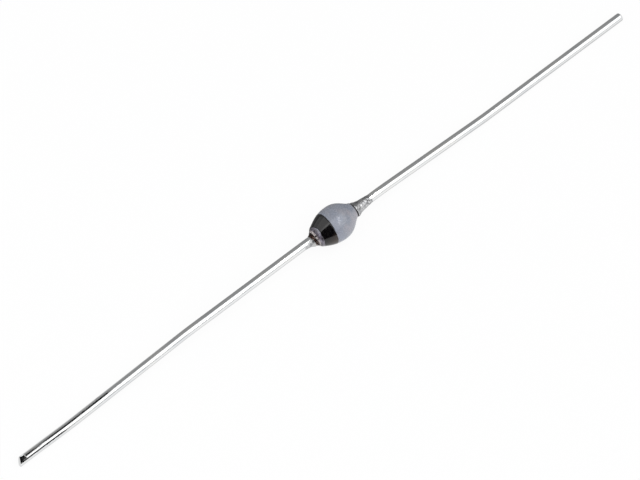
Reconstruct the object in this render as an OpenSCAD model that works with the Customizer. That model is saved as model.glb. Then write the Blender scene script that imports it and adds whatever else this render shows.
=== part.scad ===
// Axial rectifier diode in a sintered glass bead, in millimetres.
// The leads run along X, with the cathode towards -X. The origin is on the bead's
// axis, at its fattest plane and half way between the lead tips. The diode lies as
// it comes to rest, on the underside of its bead, with both lead tips a hair above
// the table.

/* [Glass bead] */
// Greatest diameter of the bead
bead_d = 3.6; // [3.2:0.05:4.4]
// Glass from the fattest plane to the cathode end
cathode_glass_len = 2.18; // [2.16:0.02:2.7]
// Glass from the fattest plane to the anode end
anode_glass_len = 2.19; // [2:0.01:2.7]
// Glass round the cathode stud, where the bead rolls over to end
cathode_lip = 0.36; // [0.2:0.02:0.4]
// Glass round the anode stud, where the bead ends
anode_lip = 0.1; // [0.06:0.01:0.2]
// How long the cathode half keeps its width before it tapers
cathode_fullness = 2; // [1.8:0.1:3]
// How long the anode half keeps its width before it tapers
anode_fullness = 2.6; // [1.8:0.1:3]
// How much the cathode half draws in to a neck
cathode_neck = 1.15; // [1:0.05:1.6]
// How much the anode half draws in to a neck
anode_neck = 1.5; // [1:0.05:1.6]

/* [Cathode ring] */
// From the fattest plane to the near edge of the enamel ring
band_start = 0.85; // [0.4:0.05:1]
// Width of the ring along the bead
band_w = 1.15; // [0.6:0.05:1.15]
// Thickness of the fired enamel
band_t = 0.03; // [0.02:0.01:0.06]

/* [Inner stack] */
// Diameter of the chip where it is widest
die_d = 1.36; // [1:0.02:1.4]
// Width of the bevel ground round the chip
mesa_bevel = 0.08; // [0.04:0.01:0.15]
// Thickness of the chip
die_t = 0.3; // [0.2:0.02:0.5]
// Thickness of the aluminium braze on each face of the chip
die_braze_t = 0.04; // [0.02:0.01:0.08]
// Diameter of the molybdenum studs
stud_d = 1.44; // [1.42:0.02:1.6]
// Stud left bare between the glass and the braze
stud_show = 0.05; // [0.02:0.01:0.15]

/* [Leads] */
// Diameter of the tinned copper wire
wire_d = 0.8; // [0.6:0.02:1]
// From the fattest plane to the tip of each lead
lead_reach = 37.2; // [36:0.1:41]
// Diameter of the head upset on the inner end of each lead
head_d = 1.16; // [1.1:0.02:1.3]
// Thickness of that head
head_t = 0.16; // [0.12:0.01:0.35]
// Rounding of the cut at each tip
tip_round = 0.06; // [0.02:0.01:0.15]
// How far the cathode lead stands off the bead's axis
cathode_offset = 0.07; // [0:0.01:0.1]
// How far the anode lead stands off the bead's axis, to the other side
anode_offset = 0.08; // [0:0.01:0.1]

/* [Lean of the leads] */
// Straight wire between the cathode fillet and the first bend
cathode_root_run = 13.6; // [4:0.1:14]
// Straight wire between the anode fillet and the first bend
anode_root_run = 0.55; // [0.2:0.05:10]
// Length along X in which each lead leans down
lean_run = 14.8; // [12:0.1:18]
// Radius of the gentle bends at both ends of the lean
bend_r = 15; // [5:1:20]
// How far the tips stay above the level of the bead's underside
tip_lift = 0.05; // [0.04:0.01:0.2]
// How far each tip has moved sideways
tip_side = 0.14; // [0:0.02:1]

/* [Braze and tin] */
// Thickness of the braze between stud and head
braze_t = 0.06; // [0.03:0.01:0.1]
// Braze crept over the rim of the head
braze_skin = 0.04; // [0.02:0.01:0.06]
// Length of the tin fillet on the cathode lead
cathode_fillet_len = 0.6; // [0.3:0.05:1.5]
// Length of the tin fillet on the anode lead
anode_fillet_len = 2; // [1.5:0.05:2.5]
// Thickness of the tin where a fillet ends on the wire
tin_t = 0.015; // [0.01:0.005:0.03]
// How far the foot of the anode fillet stands proud of the stud
tin_foot = 0.05; // [0.03:0.01:0.08]
// How hollow both fillets are, from 1, a plain cone
tin_hollow = 1.6; // [1.2:0.1:1.8]

/* [Hidden] */
$fn = 72;

cathode = -1; // the two ends, as signs of X
anode = 1;
bead_r = bead_d / 2;
stud_r = stud_d / 2;
wire_r = wire_d / 2;
head_r = head_d / 2;
braze_r = head_r + braze_skin;        // braze at the outer face of the head
band_end = band_start + band_w;
tip_drop = bead_r - wire_r - tip_lift; // how far each tip lies below the bead's axis
mesa_d = die_d - 2 * mesa_bevel;      // the chip's narrow face, on the anode side
bend_thinning = 0.002;                // wire drawn thinner by its bends, on the radius
bend_lap = 0.05;                      // straight wire that runs on over the start of a bend
lip_steps = 6;                        // facets of the rounded glass lip
curve_steps = 12;                     // facets of a fillet or a braze collar

// Distances from the fattest plane, which grow outwards on either end
function at_end(side, cathode_value, anode_value) = side == cathode ? cathode_value : anode_value;
function glass_len(side) = at_end(side, cathode_glass_len, anode_glass_len);
function lip(side) = at_end(side, cathode_lip, anode_lip);
function stud_end(side) = glass_len(side) + lip(side) + stud_show;
function head_start(side) = stud_end(side) + braze_t;
function head_end(side) = head_start(side) + head_t;
function fillet_start(side) = at_end(side, head_end(side), stud_end(side));
function fillet_end(side) = fillet_start(side) + at_end(side, cathode_fillet_len, anode_fillet_len);
function lean_start(side) = fillet_end(side) + at_end(side, cathode_root_run, anode_root_run);

// Radius of the glass at x: a belly that draws in to a lip round each stud
function glass_r(x) =
    let (
        side = x < 0 ? cathode : anode,
        share = abs(x) / glass_len(side),
        lip_r = stud_r + lip(side),
        fullness = at_end(side, cathode_fullness, anode_fullness),
        neck = at_end(side, cathode_neck, anode_neck)
    )
    lip_r + (bead_r - lip_r) * pow(max(0, 1 - pow(share, fullness)), neck);

function stations(from, to, n) = [for (i = [0 : n - 1]) from + (to - from) * i / n];

// The stretch under the enamel has its own stations, which glass and enamel share
under_band = stations(-band_end, -band_start, 10);
band_stations = concat(under_band, [-band_start]);
glass_stations = concat(
    stations(-cathode_glass_len, -band_end, 8),
    under_band,
    stations(-band_start, 0, 8),
    stations(0, anode_glass_len, 30),
    [anode_glass_len]
);

// Quarter round from the glass down to its stud, as [radius, x] outwards
function lip_curve(side) = [
    for (i = [1 : lip_steps])
        let (turn = 90 * i / lip_steps)
        [stud_r + lip(side) * cos(turn), side * (glass_len(side) + lip(side) * sin(turn))]
];

// Braze collar over the rim of a head, as [radius, distance] outwards
function collar_curve(side) = [
    for (i = [0 : curve_steps])
        let (turn = 90 * i / curve_steps)
        [braze_r + (stud_r - braze_r) * cos(turn), head_start(side) + head_t * sin(turn)]
];

// Hollow curve of a tin fillet, steep at the head and long on the wire
function fillet_curve(side) = [
    for (i = [0 : curve_steps])
        let (
            share = i / curve_steps,
            foot_r = at_end(side, braze_r, stud_r + tin_foot),
            end_r = wire_r + tin_t
        )
        [end_r + (foot_r - end_r) * pow(1 - share, tin_hollow),
         fillet_start(side) + (fillet_end(side) - fillet_start(side)) * share]
];

function backwards(list) = [for (i = [len(list) - 1 : -1 : 0]) list[i]];

// Revolves [radius, x] profiles about the X axis
module turned() {
    rotate([0, 90, 0]) rotate_extrude() children();
}

module rod(from, to, diameter) {
    translate([from, 0, 0]) rotate([0, 90, 0]) cylinder(d = diameter, h = to - from);
}

// Draws a lead-side piece on its own end, on the axis of that end's lead
module on_lead(side) {
    offset_y = at_end(side, cathode_offset, -anode_offset);
    translate([0, offset_y, 0]) mirror([side == cathode ? 1 : 0, 0, 0]) children();
}

module glass_bead() {
    color("#8b8f9b") difference() {
        turned() polygon(concat(
            [[0, -glass_len(cathode) - lip(cathode)]],
            backwards(lip_curve(cathode)),
            [for (x = glass_stations) [glass_r(x), x]],
            lip_curve(anode),
            [[0, glass_len(anode) + lip(anode)]]
        ));
        silicon_die();
        die_braze(cathode);
        die_braze(anode);
        stud(cathode);
        stud(anode);
    }
}

module cathode_band() {
    color("#17151a") turned() polygon(concat(
        [for (x = band_stations) [glass_r(x), x]],
        [for (x = backwards(band_stations)) [glass_r(x) + band_t, x]]
    ));
}

// Round chip whose edge is ground back towards the anode
module silicon_die() {
    color("#4a4d57") translate([-die_t / 2, 0, 0]) rotate([0, 90, 0])
        cylinder(d1 = die_d, d2 = mesa_d, h = die_t);
}

module die_braze(side) {
    face_d = at_end(side, die_d, mesa_d);
    color("#b9bcc0") mirror([side == cathode ? 1 : 0, 0, 0])
        rod(die_t / 2, die_t / 2 + die_braze_t, face_d);
}

module stud(side) {
    color("#8c8d91") mirror([side == cathode ? 1 : 0, 0, 0])
        rod(die_t / 2 + die_braze_t, stud_end(side), stud_d);
}

// Disc between stud and head, with a collar that has crept round the head
module braze(side) {
    color("#7d5238") on_lead(side) turned() polygon(concat(
        [[0, stud_end(side)], [stud_r, stud_end(side)]],
        collar_curve(side),
        [[head_r, head_end(side)], [head_r, head_start(side)], [0, head_start(side)]]
    ));
}

// Arc of wire from the origin, leaving along X and turning by angle towards -Y
module bend(angle) {
    translate([0, -bend_r, 0]) rotate([0, 0, 90 - angle])
        rotate_extrude(angle = angle) translate([bend_r, 0]) circle(r = wire_r - bend_thinning);
}

// Wire that leaves along X, moves by shift towards -Y within run and ends along X
module lean(run, shift) {
    centres = norm([run, 2 * bend_r - shift]);
    angle = asin(2 * bend_r / centres) - atan2(2 * bend_r - shift, run);
    slope_len = sqrt(pow(centres, 2) - pow(2 * bend_r, 2));
    bend(angle);
    translate([bend_r * sin(angle), bend_r * (cos(angle) - 1), 0])
        rotate([0, 0, -angle]) rod(-bend_lap, slope_len + bend_lap, wire_d);
    translate([run, -shift, 0]) rotate([0, 0, 180]) bend(angle);
}

// Straight end of a lead, with the rounded edge of its cut
module lead_tip(from, to) {
    turned() {
        translate([0, from]) square([wire_r, to - from - tip_round]);
        translate([0, from]) square([wire_r - tip_round, to - from]);
        translate([wire_r - tip_round, to - tip_round]) circle(r = tip_round);
    }
}

module lead(side) {
    lean_from = lean_start(side);
    color("#c6c8ca") on_lead(side) {
        rod(head_start(side), head_end(side), head_d);
        rod(head_end(side), lean_from + bend_lap, wire_d);
        // lean() bends towards -Y: turned so that it bends down and a little to +Y
        rotate([90 + atan2(tip_side, tip_drop), 0, 0]) {
            shift = norm([tip_drop, tip_side]);
            translate([lean_from, 0, 0]) lean(lean_run, shift);
            translate([0, -shift, 0]) lead_tip(lean_from + lean_run - bend_lap, lead_reach);
        }
    }
}

// Tin round the wire, over the head on the cathode and over the braze on the anode
module fillet(side) {
    inner = side == cathode
        ? [[wire_r, fillet_end(side)], [wire_r, fillet_start(side)]]
        : concat(
            [[wire_r, fillet_end(side)], [wire_r, head_end(side)]],
            backwards(collar_curve(side)),
            [[stud_r, stud_end(side)]]
        );
    color("#b3b5b8") on_lead(side) turned()
        polygon(concat(fillet_curve(side), inner));
}

glass_bead();
cathode_band();
silicon_die();
die_braze(cathode);  // cathode_die_braze
die_braze(anode);  // anode_die_braze
stud(cathode);  // cathode_stud
stud(anode);  // anode_stud
braze(cathode);  // cathode_braze
braze(anode);  // anode_braze
lead(cathode);  // cathode_lead
lead(anode);  // anode_lead
fillet(cathode);  // cathode_fillet
fillet(anode);  // anode_fillet
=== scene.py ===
import math
import bpy
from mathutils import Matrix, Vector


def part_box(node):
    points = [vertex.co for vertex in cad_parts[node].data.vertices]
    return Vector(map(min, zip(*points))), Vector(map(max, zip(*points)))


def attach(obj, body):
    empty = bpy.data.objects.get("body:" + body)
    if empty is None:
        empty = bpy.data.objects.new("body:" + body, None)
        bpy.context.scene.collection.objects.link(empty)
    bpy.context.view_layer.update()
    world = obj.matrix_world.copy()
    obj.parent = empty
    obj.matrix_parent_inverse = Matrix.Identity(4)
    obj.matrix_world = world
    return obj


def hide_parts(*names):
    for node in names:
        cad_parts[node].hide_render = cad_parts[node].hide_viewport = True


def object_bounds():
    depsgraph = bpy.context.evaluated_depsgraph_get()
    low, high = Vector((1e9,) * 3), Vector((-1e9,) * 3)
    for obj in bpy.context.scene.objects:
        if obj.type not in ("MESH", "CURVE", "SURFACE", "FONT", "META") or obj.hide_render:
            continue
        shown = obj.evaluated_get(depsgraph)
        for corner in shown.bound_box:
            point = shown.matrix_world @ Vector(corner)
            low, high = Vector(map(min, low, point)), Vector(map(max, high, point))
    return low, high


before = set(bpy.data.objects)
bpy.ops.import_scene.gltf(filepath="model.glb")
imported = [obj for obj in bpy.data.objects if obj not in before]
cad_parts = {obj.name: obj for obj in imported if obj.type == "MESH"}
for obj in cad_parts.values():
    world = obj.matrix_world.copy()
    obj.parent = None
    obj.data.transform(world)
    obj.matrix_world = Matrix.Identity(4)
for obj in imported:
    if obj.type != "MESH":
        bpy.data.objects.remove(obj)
cadBox = [list(corner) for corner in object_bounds()]
mm = 0.001
print("frame loaded with", len(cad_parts), "nodes")


def hexColour(code):
    # an sRGB hex value as the linear colour that a shader takes
    parts = [int(code[i:i + 2], 16) / 255 for i in (1, 3, 5)]
    return [p / 12.92 if p <= 0.04045 else ((p + 0.055) / 1.055) ** 2.4 for p in parts] + [1]


def grey(level):
    return [level, level, level, 1]


def perMm(size):
    # texture scale that makes one feature this many millimetres wide
    return 1 / (size * mm)


def addNode(material, kind, settings=None, links=None):
    # settings are inputs, the node's own options or a ramp's stops; links are {input: (node, output)}
    node = material.node_tree.nodes.new(kind)
    for name, value in (settings or {}).items():
        if name == "stops":
            band = node.color_ramp
            while len(band.elements) > 1:
                band.elements.remove(band.elements[-1])
            band.elements[0].position, band.elements[0].color = value[0]
            for place, colour in value[1:]:
                band.elements.new(place).color = colour
        elif isinstance(name, int) or name in node.inputs:
            node.inputs[name].default_value = value
        else:
            setattr(node, name, value)
    for name, (source, output) in (links or {}).items():
        material.node_tree.links.new(source.outputs[output], node.inputs[name])
    return node


def newMaterial(name):
    material = bpy.data.materials.new(name)
    material.use_nodes = True
    material.node_tree.nodes.clear()
    return material


def startAlone():
    # an operator acts on all that is selected, and the CAD nodes come in selected
    if bpy.context.object and bpy.context.object.mode != "OBJECT":
        bpy.ops.object.mode_set(mode="OBJECT")
    bpy.ops.object.select_all(action="DESELECT")


def pullRings(name, rings, around):
    # a hoop of vertices across X, pulled to each (x, y, z, radius) in turn and resized there
    startAlone()
    x, y, z, radius = rings[0]
    bpy.ops.mesh.primitive_circle_add(vertices=around, radius=radius * mm,
                                      location=(x * mm, y * mm, z * mm), rotation=(0, math.radians(90), 0))
    piece = bpy.context.object
    piece.name = piece.data.name = name
    bpy.ops.object.transform_apply(location=True, rotation=True, scale=True)
    bpy.ops.object.mode_set(mode="EDIT")
    bpy.ops.mesh.select_all(action="SELECT")
    for here, there in zip(rings, rings[1:]):
        step = [(b - a) * mm for a, b in zip(here[:3], there[:3])]
        bpy.ops.mesh.extrude_region_move(TRANSFORM_OT_translate={"value": step})
        grow = there[3] / here[3]
        bpy.ops.transform.resize(value=(1, grow, grow), center_override=[c * mm for c in there[:3]])
    return piece


def pick(piece, test):
    # leaves the vertices that pass the test selected, in edit mode
    bpy.ops.object.mode_set(mode="OBJECT")
    for part in (piece.data.polygons, piece.data.edges, piece.data.vertices):
        part.foreach_set("select", [False] * len(part))
    for corner in piece.data.vertices:
        corner.select = test(corner.co / mm)
    bpy.ops.object.mode_set(mode="EDIT")
    bpy.ops.mesh.select_mode(type="VERT")


def onRing(ring, slack=0.001):
    x, y, z, radius = ring
    return lambda p: abs(p.x - x) < slack and abs(math.hypot(p.y - y, p.z - z) - radius) < slack


def joinEnds(piece, first, last):
    # bridges the first and last hoops, which closes a sleeve into one solid wall
    nearFirst, nearLast = onRing(first), onRing(last)
    pick(piece, lambda p: nearFirst(p) or nearLast(p))
    bpy.ops.mesh.bridge_edge_loops()


def capEnd(piece, ring):
    pick(piece, onRing(ring))
    bpy.ops.mesh.edge_face_add()


def finishShape(piece, crease=40):
    bpy.ops.object.mode_set(mode="EDIT")
    bpy.ops.mesh.select_all(action="SELECT")
    bpy.ops.mesh.remove_doubles(threshold=0.0005 * mm)
    bpy.ops.mesh.normals_make_consistent(inside=False)
    bpy.ops.object.mode_set(mode="OBJECT")
    bpy.ops.object.shade_smooth_by_angle(angle=math.radians(crease))
    return piece


def displace(piece, name, height, grain=None, share=None, direction="NORMAL", depth=2):
    # clouds of this grain push the surface in and out; with no grain it swells evenly
    # share gives how much of that a point takes, from 0 to 1; sizes are in millimetres
    lumps = piece.modifiers.new(name, "DISPLACE")
    lumps.mid_level = 0
    if grain:
        lumps.mid_level = 0.5
        lumps.texture = bpy.data.textures.new(name, "CLOUDS")
        lumps.texture.noise_scale = grain * mm
        lumps.texture.noise_depth = depth
    if share:
        group = piece.vertex_groups.new(name=name)
        for corner in piece.data.vertices:
            group.add([corner.index], max(0, min(1, share(corner.co / mm))), "REPLACE")
        lumps.vertex_group = group.name
    lumps.direction = direction
    lumps.strength = height * mm
    bpy.context.view_layer.objects.active = piece
    bpy.ops.object.modifier_apply(modifier=lumps.name)


def seat(piece, material, slotName, *nodes):
    piece.data.materials.clear()
    piece.data.materials.append(material)
    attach(piece, "root")
    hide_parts(*nodes)


def spread(start, end, count):
    return [start + (end - start) * i / count for i in range(count + 1)]


def between(places, x):
    # reads a list of (x, value) pairs at x, straight from one to the next
    for (fromX, fromValue), (toX, toValue) in zip(places, places[1:]):
        if x <= toX:
            return fromValue + (toValue - fromValue) * max(0, x - fromX) / (toX - fromX)
    return places[-1][1]


def firedGlass():
    # zinc borosilicate glass powder fired round the stack: opaque blue grey with a lilac drift,
    # a soft gloss and fine seeds, with painted shade on both lips and a painted highlight on the cathode
    # lip's rim
    look = newMaterial("sinteredGlass")
    place = addNode(look, "ShaderNodeTexCoord")
    haze = addNode(look, "ShaderNodeTexNoise", {"Scale": perMm(1.5), "Detail": 3, "Roughness": 0.5},
                   {"Vector": (place, "Object")})
    grain = addNode(look, "ShaderNodeTexNoise", {"Scale": perMm(0.14), "Detail": 4, "Roughness": 0.65},
                    {"Vector": (place, "Object")})
    # the real seeds are smaller and closer, and are made this coarse so that they show
    seeds = addNode(look, "ShaderNodeTexVoronoi", {"Scale": perMm(0.22), "Randomness": 1},
                    {"Vector": (place, "Object")})
    tint = addNode(look, "ShaderNodeValToRGB", {"stops": [
        (0.34, hexColour("#868c9b")), (0.5, hexColour("#8c909b")), (0.66, hexColour("#99979f"))]},
        {"Fac": (haze, "Fac")})
    fleck = addNode(look, "ShaderNodeValToRGB",
                    {"stops": [(0.3, grey(0.88)), (0.5, grey(1)), (0.72, grey(1.08))]},
                    {"Fac": (grain, "Fac")})
    pit = addNode(look, "ShaderNodeValToRGB", {"stops": [(0.05, grey(0.72)), (0.16, grey(1))]},
                  {"Fac": (seeds, "Distance")})
    flecked = addNode(look, "ShaderNodeMix", {"data_type": "RGBA", "blend_type": "MULTIPLY", "Factor": 1},
                      {6: (tint, "Color"), 7: (fleck, "Color")})
    pitted = addNode(look, "ShaderNodeMix", {"data_type": "RGBA", "blend_type": "MULTIPLY", "Factor": 1},
                     {6: (flecked, 2), 7: (pit, "Color")})
    # painted shade of the recessed cathode lip: it lies outside x = -1.95 mm, is patchy and is near black
    # in places
    axes = addNode(look, "ShaderNodeSeparateXYZ", links={"Vector": (place, "Object")})
    outer = addNode(look, "ShaderNodeMapRange", {"From Min": -1.95 * mm, "From Max": -2.12 * mm},
                    {"Value": (axes, "X")})
    blotch = addNode(look, "ShaderNodeTexNoise", {"Scale": perMm(0.3), "Detail": 3, "Roughness": 0.6},
                     {"Vector": (place, "Object")})
    lipShadeTint = addNode(look, "ShaderNodeValToRGB", {"stops": [
        (0.36, hexColour("#1d1719")), (0.43, hexColour("#4a444d")), (0.58, hexColour("#625d69")),
        (0.7, hexColour("#8d8996"))]}, {"Fac": (blotch, "Fac")})
    lipShaded = addNode(look, "ShaderNodeMix", {"data_type": "RGBA"},
                      {"Factor": (outer, "Result"), 6: (pitted, 2), 7: (lipShadeTint, "Color")})
    # the rim of that lip is painted pale and patchy: a painted highlight
    rimHighlightMask = addNode(look, "ShaderNodeMapRange", {"From Min": -2.36 * mm, "From Max": -2.43 * mm},
                  {"Value": (axes, "X")})
    rimHighlightTint = addNode(look, "ShaderNodeValToRGB", {"stops": [
        (0.38, hexColour("#3a3032")), (0.5, hexColour("#a1989a")), (0.62, hexColour("#d9d0cc"))]},
        {"Fac": (blotch, "Fac")})
    rimHighlighted = addNode(look, "ShaderNodeMix", {"data_type": "RGBA"},
                     {"Factor": (rimHighlightMask, "Result"), 6: (lipShaded, 2), 7: (rimHighlightTint, "Color")})
    # the anode lip is painted dark and patchy: painted shadow of the gap between the glass and the tin
    # fillet
    anodeLipShadow = addNode(look, "ShaderNodeMapRange", {"From Min": 2.16 * mm, "From Max": 2.24 * mm},
                   {"Value": (axes, "X")})
    anodeLipShadowTint = addNode(look, "ShaderNodeValToRGB", {"stops": [
        (0.4, hexColour("#191b1a")), (0.56, hexColour("#343835")), (0.68, hexColour("#6b6e6c"))]},
        {"Fac": (blotch, "Fac")})
    colour = addNode(look, "ShaderNodeMix", {"data_type": "RGBA"},
                     {"Factor": (anodeLipShadow, "Result"), 6: (rimHighlighted, 2), 7: (anodeLipShadowTint, "Color")})
    gloss = addNode(look, "ShaderNodeMapRange",
                    {"From Min": 0.3, "From Max": 0.7, "To Min": 0.2, "To Max": 0.32},
                    {"Value": (grain, "Fac")})
    ripple = addNode(look, "ShaderNodeBump", {"Strength": 0.2, "Distance": 0.02 * mm},
                     {"Height": (grain, "Fac")})
    shader = addNode(look, "ShaderNodeBsdfPrincipled",
                     {"IOR": 1.6, "Coat Weight": 0.3, "Coat Roughness": 0.06},
                     {"Base Color": (colour, 2), "Roughness": (gloss, "Result"),
                      "Normal": (ripple, "Normal")})
    addNode(look, "ShaderNodeOutputMaterial", links={"Surface": (shader, "BSDF")})
    return look


def blackEnamel():
    # printed glass enamel, fired: deep black with a sharp gloss and brown dusty streaks, browner on its low
    # side, where the brown is partly dust and partly a painted reflection of the floor
    look = newMaterial("firedEnamel")
    place = addNode(look, "ShaderNodeTexCoord")
    stroke = addNode(look, "ShaderNodeMapping", {"Scale": (2.5, 1, 1)}, {"Vector": (place, "Object")})
    streak = addNode(look, "ShaderNodeTexNoise", {"Scale": perMm(0.4), "Detail": 4, "Roughness": 0.6},
                     {"Vector": (stroke, "Vector")})
    dust = addNode(look, "ShaderNodeTexNoise", {"Scale": perMm(0.1), "Detail": 3, "Roughness": 0.6},
                   {"Vector": (place, "Object")})
    tint = addNode(look, "ShaderNodeValToRGB", {"stops": [
        (0.35, hexColour("#060507")), (0.58, hexColour("#0e0d0e")), (0.75, hexColour("#1d1a17"))]},
        {"Fac": (streak, "Fac")})
    # on its low side, towards -Y, the band turns brown: partly dust, partly a painted reflection of the
    # floor
    axes = addNode(look, "ShaderNodeSeparateXYZ", links={"Vector": (place, "Object")})
    low = addNode(look, "ShaderNodeMapRange", {"From Min": -1.15 * mm, "From Max": -1.6 * mm},
                  {"Value": (axes, "Y")})
    colour = addNode(look, "ShaderNodeMix", {"data_type": "RGBA", 7: hexColour("#332822")},
                     {"Factor": (low, "Result"), 6: (tint, "Color")})
    gloss = addNode(look, "ShaderNodeMapRange",
                    {"From Min": 0.3, "From Max": 0.7, "To Min": 0.08, "To Max": 0.17},
                    {"Value": (streak, "Fac")})
    ripple = addNode(look, "ShaderNodeBump", {"Strength": 0.25, "Distance": 0.006 * mm},
                     {"Height": (dust, "Fac")})
    shader = addNode(look, "ShaderNodeBsdfPrincipled", {"IOR": 1.5},
                     {"Base Color": (colour, 2), "Roughness": (gloss, "Result"),
                      "Normal": (ripple, "Normal")})
    addNode(look, "ShaderNodeOutputMaterial", links={"Surface": (shader, "BSDF")})
    return look


def tinnedWire():
    # soft copper wire, drawn and hot tinned: bright, with drawn lines along X, duller patches
    # of frozen tin and a nick here and there from handling
    look = newMaterial("hotTinnedWire")
    place = addNode(look, "ShaderNodeTexCoord")
    along = addNode(look, "ShaderNodeMapping", {"Scale": (0.04, 1, 1)}, {"Vector": (place, "Object")})
    # the real drawn lines are finer, and are made this coarse so that they show
    lines = addNode(look, "ShaderNodeTexNoise", {"Scale": perMm(0.08), "Detail": 3, "Roughness": 0.6},
                    {"Vector": (along, "Vector")})
    easy = addNode(look, "ShaderNodeMapping", {"Scale": (0.3, 1, 1)}, {"Vector": (place, "Object")})
    patch = addNode(look, "ShaderNodeTexNoise", {"Scale": perMm(0.7), "Detail": 4, "Roughness": 0.65},
                    {"Vector": (easy, "Vector")})
    nicks = addNode(look, "ShaderNodeTexVoronoi", {"Scale": perMm(1.7), "Randomness": 1},
                    {"Vector": (easy, "Vector")})
    tint = addNode(look, "ShaderNodeValToRGB", {"stops": [
        (0.35, hexColour("#e4e6e8")), (0.55, hexColour("#eff0f0")), (0.7, hexColour("#f1f0ed"))]},
        {"Fac": (patch, "Fac")})
    mark = addNode(look, "ShaderNodeValToRGB", {"stops": [(0.03, grey(0.5)), (0.07, grey(1))]},
                   {"Fac": (nicks, "Distance")})
    colour = addNode(look, "ShaderNodeMix", {"data_type": "RGBA", "blend_type": "MULTIPLY", "Factor": 1},
                     {6: (tint, "Color"), 7: (mark, "Color")})
    gloss = addNode(look, "ShaderNodeMapRange",
                    {"From Min": 0.42, "From Max": 0.68, "To Min": 0.06, "To Max": 0.17},
                    {"Value": (patch, "Fac")})
    drawn = addNode(look, "ShaderNodeBump", {"Strength": 0.5, "Distance": 0.0015 * mm},
                    {"Height": (lines, "Fac")})
    frozen = addNode(look, "ShaderNodeBump", {"Strength": 0.5, "Distance": 0.012 * mm},
                     {"Height": (patch, "Fac"), "Normal": (drawn, "Normal")})
    shader = addNode(look, "ShaderNodeBsdfPrincipled", {"Metallic": 1},
                     {"Base Color": (colour, 2), "Roughness": (gloss, "Result"),
                      "Normal": (frozen, "Normal")})
    addNode(look, "ShaderNodeOutputMaterial", links={"Surface": (shader, "BSDF")})
    return look


def roughMetal(name, tints, patchSize, grainSize, rough, bumpHeight, stretch=(1, 1, 1)):
    # a bare metal: its tints drift in patches, and its grain gives roughness and relief
    look = newMaterial(name)
    place = addNode(look, "ShaderNodeTexCoord")
    along = addNode(look, "ShaderNodeMapping", {"Scale": stretch}, {"Vector": (place, "Object")})
    drift = addNode(look, "ShaderNodeTexNoise", {"Scale": perMm(patchSize), "Detail": 4, "Roughness": 0.6},
                    {"Vector": (place, "Object")})
    grain = addNode(look, "ShaderNodeTexNoise", {"Scale": perMm(grainSize), "Detail": 3, "Roughness": 0.6},
                    {"Vector": (along, "Vector")})
    stops = [(0.3 + 0.4 * i / (len(tints) - 1), hexColour(tint)) for i, tint in enumerate(tints)]
    tint = addNode(look, "ShaderNodeValToRGB", {"stops": stops}, {"Fac": (drift, "Fac")})
    gloss = addNode(look, "ShaderNodeMapRange", {"From Min": 0.3, "From Max": 0.7, "To Min": rough[0],
                                                 "To Max": rough[1]}, {"Value": (grain, "Fac")})
    ripple = addNode(look, "ShaderNodeBump", {"Strength": 0.5, "Distance": bumpHeight * mm},
                     {"Height": (grain, "Fac")})
    shader = addNode(look, "ShaderNodeBsdfPrincipled", {"Metallic": 1},
                     {"Base Color": (tint, "Color"), "Roughness": (gloss, "Result"),
                      "Normal": (ripple, "Normal")})
    addNode(look, "ShaderNodeOutputMaterial", links={"Surface": (shader, "BSDF")})
    return look


glassMaterial = firedGlass()
enamelMaterial = blackEnamel()
wireMaterial = tinnedWire()
# dip-coated tin, frozen with a grain: silver drifting to grey in patches
tinMaterial = roughMetal("dippedTin", ("#77787a", "#b6b7b9", "#e2e2e1"), 0.3, 0.17, (0.26, 0.44), 0.045)
# the same tin where it only wicked up the cathode lead: thinner, paler and duller
wickedTinMaterial = roughMetal("wickedTin", ("#b2b3b4", "#cdcecf", "#e2e2e1"), 0.3, 0.14, (0.42, 0.58),
                               0.025)
# copper braze, browned by the glass firing, with tin splashed on it
brazeMaterial = roughMetal("firedCopperBraze", ("#160e0f", "#281a18", "#46352f", "#cdbfb6"), 0.24, 0.09,
                           (0.2, 0.36), 0.02)
# in the three below, the real grain is finer and is made coarser so that it shows
# ground molybdenum, darkened by oxide where it stays bare between glass and braze
molybdenumMaterial = roughMetal("oxidisedMolybdenum", ("#3c3d3e", "#5b5b5c"), 0.5, 0.06, (0.3, 0.45), 0.005,
                                (1, 0.05, 0.05))
# aluminium braze foil, melted and set: pale and satin
aluminiumMaterial = roughMetal("aluminiumBraze", ("#b4b7ba", "#c8cacc"), 0.2, 0.05, (0.3, 0.45), 0.005)
# diffused silicon, etched on its bevel: dark blue grey with a satin gloss
siliconMaterial = roughMetal("etchedSilicon", ("#454854", "#5a5d68"), 0.3, 0.05, (0.15, 0.3), 0.002)
print("materials made")

beadShape = {"cathodeFullness": 2.0, "anodeFullness": 2.6, "cathodeNeck": 1.15, "anodeNeck": 1.5,
             "cathodeLip": 0.36, "anodeLip": 0.1, "around": 160, "waves": 0.02, "waveLength": 1.3,
             "lipLumps": 0.055, "lumpSize": 0.24,
             "lumpsFrom": 1.95,
             "cathodeRoll": [(2.22, 1.055), (2.28, 1.005), (2.34, 0.945), (2.4, 0.885), (2.46, 0.825),
                             (2.5, 0.785), (2.53, 0.745), (2.54, 0.72)]}

beadLow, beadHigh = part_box("glass_bead")
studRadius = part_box("cathode_stud")[1].z / mm
beadRadius = beadHigh.z / mm
cathodeGlass = -beadLow.x / mm - beadShape["cathodeLip"]
anodeGlass = beadHigh.x / mm - beadShape["anodeLip"]


def glassRadius(x):
    # the belly draws in to a lip round each stud
    if -x > cathodeGlass:
        return between([(cathodeGlass, studRadius + beadShape["cathodeLip"])] + beadShape["cathodeRoll"],
                       -x)
    end = "cathode" if x < 0 else "anode"
    reach = cathodeGlass if x < 0 else anodeGlass
    lip = studRadius + beadShape[end + "Lip"]
    rest = max(0, 1 - (abs(x) / reach) ** beadShape[end + "Fullness"])
    return lip + (beadRadius - lip) * rest ** beadShape[end + "Neck"]


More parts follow.
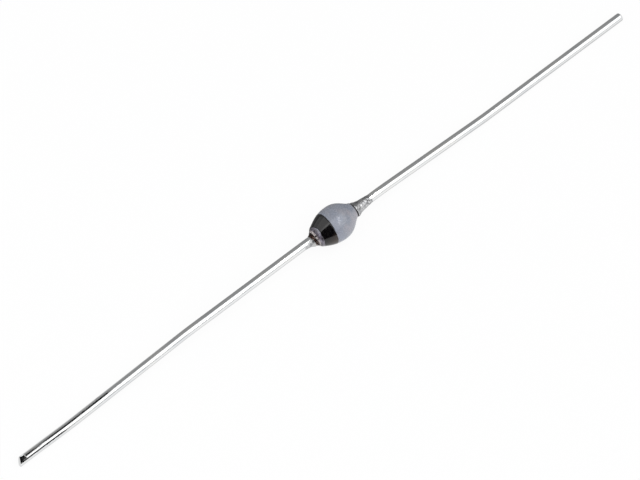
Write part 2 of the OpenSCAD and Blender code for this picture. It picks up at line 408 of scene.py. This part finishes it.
def makeBead():
    lip = beadShape["anodeLip"]
    outside = [(x, 0, 0, glassRadius(x))
               for x in spread(-cathodeGlass, 0, 48) + spread(0, anodeGlass, 44)[1:]]
    # the cathode end is ground off at a slant, and the anode end is a small roll
    rings = [(-x, 0, 0, radius) for x, radius in beadShape["cathodeRoll"][::-1]] + outside
    rings += [(anodeGlass + lip * math.sin(a), 0, 0, studRadius + lip * math.cos(a))
              for a in [math.radians(9 * i) for i in range(1, 11)]]
    bead = pullRings("glassBead", rings, beadShape["around"])
    joinEnds(bead, rings[0], rings[-1])
    finishShape(bead)
    displace(bead, "firingWaves", beadShape["waves"], grain=beadShape["waveLength"])
    # powder that sank unevenly leaves the cathode lip knobbly, but for its fit on the stud
    displace(bead, "lipLumps", beadShape["lipLumps"], grain=beadShape["lumpSize"],
             share=lambda p: min((-p.x - beadShape["lumpsFrom"]) / 0.25, (-beadLow.x / mm + p.x) / 0.1))
    seat(bead, glassMaterial, "sintered_glass", "glass_bead")


makeBead()
print("glass bead made")

ringShape = {"thickness": 0.022, "edge": 0.05, "sunk": 0.04, "around": 160, "wander": 0.05, "lowSide": 0.1,
             "farSide": 0.38, "topBulge": 0.09, "bellyWander": 0.6}


def ringWander(y, z):
    # how far the ring's edge strays along X at this side of the bead; it lags on the -Y side
    turn = math.atan2(y, z)
    low = max(0, -math.sin(turn)) ** 2
    stray = math.sin(3 * turn + 0.6) + 0.6 * math.sin(7 * turn + 2) + 0.4 * math.sin(16 * turn)
    return ringShape["wander"] * stray / 2 - ringShape["lowSide"] * low


def makeRing():
    low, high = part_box("cathode_band")
    start, end = low.x / mm, high.x / mm
    soft = ringShape["edge"]
    stations = [start, start + soft * 0.3] + spread(start + soft, end - soft, 30) + [end - soft * 0.3, end]
    top = []
    for x in stations:
        fromEdge = min(x - start, end - x, soft) / soft
        rise = ringShape["thickness"] * math.sqrt(max(0, 1 - (1 - fromEdge) ** 2))
        top.append((x, 0, 0, glassRadius(x) + rise))
    under = [(x, 0, 0, glassRadius(x) - ringShape["sunk"]) for x in spread(end, start, 12)]
    rings = top + under
    ring = pullRings("cathodeRing", rings, ringShape["around"])
    joinEnds(ring, rings[0], rings[-1])
    bpy.ops.object.mode_set(mode="OBJECT")
    for corner in ring.data.vertices:
        # each edge strays by itself, and the enamel keeps its height over the glass
        x, y, z = corner.co / mm
        radius = math.hypot(y, z)
        height = radius - glassRadius(x)
        share = (x - start) / (end - start)
        x += (1 - share) * ringWander(y, z) + share * ringShape["bellyWander"] * ringWander(y, -z)
        # it ran to the lip on the +Y side, and bulges over the belly on top
        x -= (1 - share) * ringShape["farSide"] * max(0, y / radius) ** 2
        x += share * ringShape["topBulge"] * max(0, z / radius) ** 2
        grow = (glassRadius(x) + height) / radius
        corner.co = (x * mm, y * grow * mm, z * grow * mm)
    finishShape(ring)
    displace(ring, "firingWaves", beadShape["waves"], grain=beadShape["waveLength"])
    seat(ring, enamelMaterial, "black_enamel", "cathode_band")


makeRing()
print("cathode ring made")

leadShape = {"headRadius": 0.58, "headThick": 0.16, "headRound": 0.05, "wireRadius": 0.43,
             "bendRadius": 15, "leanRun": 14.8, "tipDrop": 1.35, "tipSide": 0.14, "around": 64,
             "cathodeHeadSide": -0.02, "cathodeRootRun": 13.6, "anodeRootRun": 0.55,
             "cathodeTipRound": 0.05, "anodeTipRound": 0.11, "anodeTrim": 0.15, "wobble": 0.012,
             "wobbleLength": 5, "tipRun": 0.9, "step": 0.25,
             "jawHeight": 0.38, "jawRun": 0.85, "jawSlope": 0.06, "jawDip": 0.04,
             "cutBack": 0.17, "cutFacing": (-0.86, 0.42, 0.28)}


def leanShift(u, side):
    # how far the wire has moved across, u mm into its lean: arc, straight slope, arc
    run, bend, drop = leadShape["leanRun"], leadShape["bendRadius"], leadShape["tipDrop"]
    total = math.hypot(drop, side)
    centres = math.hypot(run, 2 * bend - total)
    angle = math.asin(2 * bend / centres) - math.atan2(2 * bend - total, run)
    arcRun, arcDrop = bend * math.sin(angle), bend * (1 - math.cos(angle))
    if u <= 0:
        shift = 0
    elif u < arcRun:
        shift = bend - math.sqrt(bend ** 2 - u ** 2)
    elif u < run - arcRun:
        shift = arcDrop + (u - arcRun) * math.tan(angle)
    elif u < run:
        shift = total - (bend - math.sqrt(bend ** 2 - (run - u) ** 2))
    else:
        shift = total
    return side * shift / total, -drop * shift / total


def makeLead(name, node, outward, axisY, headY, leanStart, tipRound):
    low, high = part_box(node)
    inner = abs(high.x if outward < 0 else low.x) / mm
    reach = -low.x / mm if outward < 0 else high.x / mm - leadShape["anodeTrim"]
    headEnd = inner + leadShape["headThick"]
    wire, head, soft = leadShape["wireRadius"], leadShape["headRadius"], leadShape["headRound"]
    stations = [(inner, head - soft), (inner + soft * 0.3, head - soft * 0.3), (inner + soft, head),
                (headEnd - soft, head), (headEnd - soft * 0.3, head - soft * 0.3), (headEnd, head - soft)]
    leanEnd = leanStart + leadShape["leanRun"]
    tipStart, step = reach - leadShape["tipRun"], leadShape["step"]
    stations += [(x, wire) for x in spread(headEnd + 0.01, leanStart,
                                           max(4, round((leanStart - headEnd) / step)))]
    stations += [(x, wire) for x in spread(leanStart, leanEnd, 80)[1:]]
    stations += [(x, wire) for x in spread(leanEnd, tipStart, round((tipStart - leanEnd) / step))[1:]]
    stations += [(x, wire) for x in spread(tipStart, reach - tipRound, 12)[1:]]
    for turn in (22.5, 45, 67.5, 90):
        a = math.radians(turn)
        stations.append((reach - tipRound * (1 - math.sin(a)), wire - tipRound * (1 - math.cos(a))))
    rings = []
    for x, radius in stations:
        acrossY, acrossZ = leanShift(x - leanStart, leadShape["tipSide"])
        centreY = headY if x <= headEnd else axisY + acrossY
        rings.append((outward * x, centreY, acrossZ, radius))
    lead = pullRings(name, rings, leadShape["around"])
    capEnd(lead, rings[0])
    capEnd(lead, rings[-1])
    return lead, rings[-1]


def cutCathodeTip(lead, tip):
    # side cutters leave a slanted face, and a flat where the upper jaw lay on the wire
    tipX, tipY, tipZ = tip[:3]
    jaw, flatEnd = tipZ + leadShape["jawHeight"], tipX + leadShape["jawRun"]
    pick(lead, lambda p: p.x < flatEnd and p.z > jaw - leadShape["jawSlope"] * (flatEnd - p.x))
    bpy.ops.transform.resize(value=(1, 1, 0),
                             center_override=(tipX * mm, tipY * mm, (jaw - leadShape["jawDip"]) * mm))
    bpy.ops.mesh.select_all(action="SELECT")
    # the default threshold is a tenth of a millimetre, which tangles a tip this small
    bpy.ops.mesh.bisect(plane_co=((tipX + leadShape["cutBack"]) * mm, tipY * mm, tipZ * mm),
                        plane_no=leadShape["cutFacing"], use_fill=True, clear_outer=True,
                        threshold=0.001 * mm)


def makeLeads():
    cathodeY = sum(c.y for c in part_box("cathode_braze")) / 2 / mm
    anodeY = sum(c.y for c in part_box("anode_braze")) / 2 / mm
    cathodeStart = -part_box("cathode_fillet")[0].x / mm + leadShape["cathodeRootRun"]
    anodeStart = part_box("anode_fillet")[1].x / mm + leadShape["anodeRootRun"]
    cathode, tip = makeLead("cathodeLead", "cathode_lead", -1, cathodeY, leadShape["cathodeHeadSide"],
                            cathodeStart, leadShape["cathodeTipRound"])
    cutCathodeTip(cathode, tip)
    anode, tip = makeLead("anodeLead", "anode_lead", 1, anodeY, anodeY, anodeStart,
                          leadShape["anodeTipRound"])
    for lead, node in ((cathode, "cathode_lead"), (anode, "anode_lead")):
        finishShape(lead)
        displace(lead, "handlingWobble", leadShape["wobble"], grain=leadShape["wobbleLength"],
                 direction="Z")
        seat(lead, wireMaterial, "tinned_copper", node)


makeLeads()
print("leads made")

# distances outwards from the fattest plane, with the radius and the sideways place at each
collarShape = {"radius": [(2.45, 0.79), (2.48, 0.8), (2.55, 0.72), (2.63, 0.655), (2.72, 0.62), (2.8, 0.6),
                          (2.86, 0.575), (2.88, 0.55)],
               "side": [(2.45, 0), (2.88, -0.04)], "hole": 0.5, "around": 96, "lumps": 0.06,
               "lumpSize": 0.2}


def makeCollar():
    start, end = collarShape["radius"][0][0], collarShape["radius"][-1][0]
    outer = [(-x, between(collarShape["side"], x), 0, between(collarShape["radius"], x))
             for x in spread(start, end, 16)]
    hole = [(-x, between(collarShape["side"], x), 0, collarShape["hole"]) for x in spread(end, start, 3)]
    collar = pullRings("cathodeCollar", outer + hole, collarShape["around"])
    joinEnds(collar, outer[0], hole[-1])
    finishShape(collar, 60)
    displace(collar, "brazeLumps", collarShape["lumps"], grain=collarShape["lumpSize"],
             share=lambda p: min(1, (math.hypot(p.y, p.z) - 0.52) / 0.06))
    seat(collar, brazeMaterial, "copper_braze", "cathode_braze")


filletShape = {
    "cathodeRadius": [(2.8, 0.585), (2.9, 0.5), (3.0, 0.44), (3.2, 0.4), (3.4, 0.385), (3.6, 0.378),
                      (3.95, 0.37)],
    "cathodeSide": [(2.8, -0.09), (2.9, -0.12), (3.0, -0.12), (3.2, -0.07), (3.4, -0.03), (3.6, -0.01),
                    (3.95, 0.02)],
    "anodeRadius": [(2.345, 0.755), (2.45, 0.755), (2.55, 0.72), (2.7, 0.655), (2.9, 0.6), (3.1, 0.56),
                    (3.3, 0.53), (3.7, 0.49), (4.1, 0.45), (4.35, 0.42)],
    "anodeSide": [(2.345, -0.07), (2.75, -0.08), (4.35, -0.08)],
    "around": 96, "cathodeLumps": 0.045, "anodeLumps": 0.075, "lumpSize": 0.26,
    "cathodeHole": 0.34, "anodeHole": 0.41,
    "dropHeight": 0.13, "dropPlace": (3.85, -0.45, 0.25), "dropReach": 0.3}


def makeFillet(name, outward, radius, side, hole, lumps):
    start, end = radius[0][0], radius[-1][0]
    count = round((end - start) / 0.035)
    outer = [(outward * x, between(side, x), 0, between(radius, x)) for x in spread(start, end, count)]
    inner = [(outward * x, side[-1][1], 0, hole) for x in spread(end, start, 4)]
    fillet = pullRings(name, outer + inner, filletShape["around"])
    joinEnds(fillet, outer[0], inner[-1])
    finishShape(fillet, 60)
    displace(fillet, name + "Lumps", lumps, grain=filletShape["lumpSize"], depth=3,
             share=lambda p: (min((abs(p.x) - start) / 0.05, 1)
                              * (math.hypot(p.y - side[-1][1], p.z) > hole + 0.01)))
    return fillet


def makeFillets():
    cathode = makeFillet("cathodeFillet", -1, filletShape["cathodeRadius"], filletShape["cathodeSide"],
                         filletShape["cathodeHole"], filletShape["cathodeLumps"])
    seat(cathode, wickedTinMaterial, "tin", "cathode_fillet")
    anode = makeFillet("anodeFillet", 1, filletShape["anodeRadius"], filletShape["anodeSide"],
                       filletShape["anodeHole"], filletShape["anodeLumps"])
    # a drop of tin that froze on the lower side, near the end of the fillet
    displace(anode, "frozenDrop", filletShape["dropHeight"],
             share=lambda p: 1 - math.dist(p, filletShape["dropPlace"]) / filletShape["dropReach"])
    seat(anode, tinMaterial, "tin", "anode_fillet")


makeCollar()
makeFillets()
print("braze collar and tin fillets made")

for node, material in {"silicon_die": siliconMaterial, "cathode_die_braze": aluminiumMaterial,
                       "anode_die_braze": aluminiumMaterial, "cathode_stud": molybdenumMaterial,
                       "anode_stud": molybdenumMaterial, "anode_braze": brazeMaterial}.items():
    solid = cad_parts[node]
    if not solid.material_slots:
        solid.data.materials.append(material)
    for place in solid.material_slots:
        place.material = material
print("inner stack given its materials")

studio = {"floorSize": 3, "seenWhite": 0.93, "glossWhite": 0.95, "fadeFrom": 0.06, "fadeTo": 0.4,
          "fadeLevel": 0.6, "nearLevel": 1, "farCathode": 0.68, "farAnode": 0.25,
          "roomNear": 0.96, "roomFar": 0.27, "roomTop": 0.3,
          "overheadLevel": 1.12, "backLevel": 1.05, "lowBackLevel": 0.6, "streakLevel": 6}

startAlone()
bpy.ops.mesh.primitive_plane_add(size=studio["floorSize"], location=(0, 0, cadBox[0][2] - 0.00001))
floor = bpy.context.object
floor.name = "paperFloor"
paper = newMaterial("whitePaper")
spot = addNode(paper, "ShaderNodeTexCoord")
# painted shade for the gloss: it sees the floor dimmer further away
away = addNode(paper, "ShaderNodeVectorMath", {"operation": "LENGTH"}, {0: (spot, "Object")})
fade = addNode(paper, "ShaderNodeMapRange", {"From Min": studio["fadeFrom"], "From Max": studio["fadeTo"],
                                             "To Min": 1, "To Max": studio["fadeLevel"]},
                                             {"Value": (away, "Value")})
matt = addNode(paper, "ShaderNodeBsdfDiffuse", {"Color": hexColour("#f6f6f7")})
clean = addNode(paper, "ShaderNodeEmission", {"Color": grey(1), "Strength": 1})
# painted shade for the gloss: it sees the far half of the floor dimmer, deepest towards the anode
axes = addNode(paper, "ShaderNodeSeparateXYZ", links={"Vector": (spot, "Object")})
farSide = addNode(paper, "ShaderNodeMapRange", {"From Min": -34 * mm, "From Max": -14 * mm,
                                                "To Min": studio["farCathode"],
                                                "To Max": studio["farAnode"]},
                  {"Value": (axes, "X")})
shade = addNode(paper, "ShaderNodeMapRange", {"From Min": -3 * mm, "From Max": 2 * mm,
                                              "To Min": studio["nearLevel"]},
                {"Value": (axes, "Y"), "To Max": (farSide, "Result")})
shine = addNode(paper, "ShaderNodeMath", {"operation": "MULTIPLY"},
                {0: (fade, "Result"), 1: (shade, "Result")})
dimmer = addNode(paper, "ShaderNodeEmission", {"Color": grey(1)}, {"Strength": (shine, "Value")})
path = addNode(paper, "ShaderNodeLightPath")
seenShare = addNode(paper, "ShaderNodeMath", {"operation": "MULTIPLY", 1: studio["seenWhite"]},
                    {0: (path, "Is Camera Ray")})
glossShare = addNode(paper, "ShaderNodeMath", {"operation": "MULTIPLY", 1: studio["glossWhite"]},
                     {0: (path, "Is Glossy Ray")})
seen = addNode(paper, "ShaderNodeMixShader",
               links={"Fac": (seenShare, "Value"), 1: (matt, 0), 2: (clean, 0)})
shown = addNode(paper, "ShaderNodeMixShader",
                links={"Fac": (glossShare, "Value"), 1: (seen, 0), 2: (dimmer, 0)})
addNode(paper, "ShaderNodeOutputMaterial", links={"Surface": (shown, "Shader")})
floor.data.materials.append(paper)

# a dim room, lighter low down on the near side, that the camera itself sees as white
room = bpy.data.worlds.new("dimRoom")
bpy.context.scene.world = room
room.use_nodes = True
room.node_tree.nodes.clear()
around = addNode(room, "ShaderNodeTexCoord")
height = addNode(room, "ShaderNodeSeparateXYZ", links={"Vector": (around, "Generated")})
side = addNode(room, "ShaderNodeMapRange", {"From Min": -0.6, "From Max": 0.3, "To Min": studio["roomNear"],
                                            "To Max": studio["roomFar"]}, {"Value": (height, "Y")})
top = addNode(room, "ShaderNodeMapRange", {"From Min": 0.08, "From Max": 0.5}, {"Value": (height, "Z")})
level = addNode(room, "ShaderNodeMix", {"data_type": "FLOAT", 3: studio["roomTop"]},
                {"Factor": (top, "Result"), 2: (side, "Result")})
rayKind = addNode(room, "ShaderNodeLightPath")
lit = addNode(room, "ShaderNodeMath", {"operation": "MAXIMUM"},
              {0: (rayKind, "Is Camera Ray"), 1: (level, "Result")})
sky = addNode(room, "ShaderNodeBackground", {"Color": grey(1)}, {"Strength": (lit, "Value")})
addNode(room, "ShaderNodeOutputWorld", links={"Surface": (sky, "Background")})


def softbox(name, place, size, level, aim=(0, 0, 0), twist=0):
    # a white panel that looks this bright, as a share of white; it faces the aim and is turned by twist
    light = bpy.data.lights.new(name, "AREA")
    light.shape = "RECTANGLE"
    light.size, light.size_y = size
    light.energy = level * math.pi * size[0] * size[1]
    lamp = bpy.data.objects.new(name, light)
    bpy.context.scene.collection.objects.link(lamp)
    lamp.location = place
    back = [a - b for a, b in zip(place, aim)]
    flat = math.hypot(back[0], back[1])
    lamp.rotation_euler = (math.atan2(flat, back[2]), 0,
                           math.atan2(back[0], -back[1]) + math.radians(twist))
    return lamp


def blackCard(name, corners):
    # a matt black card that only a gloss shows; it takes no light away
    startAlone()
    bpy.ops.mesh.primitive_plane_add(size=1)
    card = bpy.context.object
    card.name = name
    for corner, place in zip(card.data.vertices, (corners[0], corners[1], corners[3], corners[2])):
        corner.co = place
    card.visible_camera = card.visible_diffuse = card.visible_shadow = card.visible_transmission = False
    black = newMaterial(name)
    matt = addNode(black, "ShaderNodeBsdfDiffuse", {"Color": hexColour("#08080a")})
    addNode(black, "ShaderNodeOutputMaterial", links={"Surface": (matt, 0)})
    card.data.materials.append(black)


softbox("overheadSoftbox", (0.12, -0.38, 0.42), (0.95, 0.84), studio["overheadLevel"], aim=(0.12, -0.38, 0))
softbox("backSoftbox", (-0.1725, 0.165, 0.205), (0.255, 0.37), studio["backLevel"], aim=(-0.1725, 0.165, 0))
softbox("lowBackSoftbox", (-0.17, 0.36, 0.1), (0.26, 0.2), studio["lowBackLevel"], aim=(-0.17, 0, 0.1))
softbox("streakLamp", (0.118, -0.16, 0.38), (0.03, 0.38), studio["streakLevel"], aim=(0.118, -0.16, 0),
        twist=-8.6)
# the dark lines of the wire and the dark patch of the enamel are these cards, seen from the camera
blackCard("cameraSide", [(-0.06, -0.02, 0.206), (-1.2, -0.02, 0.206), (-1.2, -1.6, 0), (-0.06, -1.6, 0)])
blackCard("aboveCathodeTip", [(-0.0316, -0.003, 0.02), (-0.0316, 0.021, 0.02), (-0.05, 0.021, 0.02),
                              (-0.05, -0.003, 0.02)])
blackCard("aboveCathodeRun", [(-0.0272, -0.0005, 0.02), (-0.0262, 0.023, 0.02), (-0.0308, 0.023, 0.02),
                              (-0.0308, -0.0005, 0.02)])
blackCard("besideCathodeTip", [(-0.0305, -0.008, -0.0005), (-0.0305, -0.008, 0.0066),
                               (-0.045, -0.008, 0.0066), (-0.045, -0.008, -0.0005)])

view = {"azimuth": -129.77, "elevation": 63.5, "distance": 227.2, "aimX": -2.160, "aimY": -0.438,
        "lens": 135.8}
lens = bpy.data.cameras.new("productCamera")
lens.lens = view["lens"]
lens.sensor_width = 36
lens.clip_start = 0.01
camera = bpy.data.objects.new("productCamera", lens)
bpy.context.scene.collection.objects.link(camera)
up, turn = math.radians(view["elevation"]), math.radians(view["azimuth"])
reach = view["distance"] * mm
camera.location = (view["aimX"] * mm + reach * math.cos(up) * math.cos(turn),
                   view["aimY"] * mm + reach * math.cos(up) * math.sin(turn), reach * math.sin(up))
camera.rotation_euler = (math.radians(90) - up, 0, turn + math.radians(90))
bpy.context.scene.camera = camera
bpy.context.scene.view_settings.view_transform = "Standard"
print("stage, light and camera set")
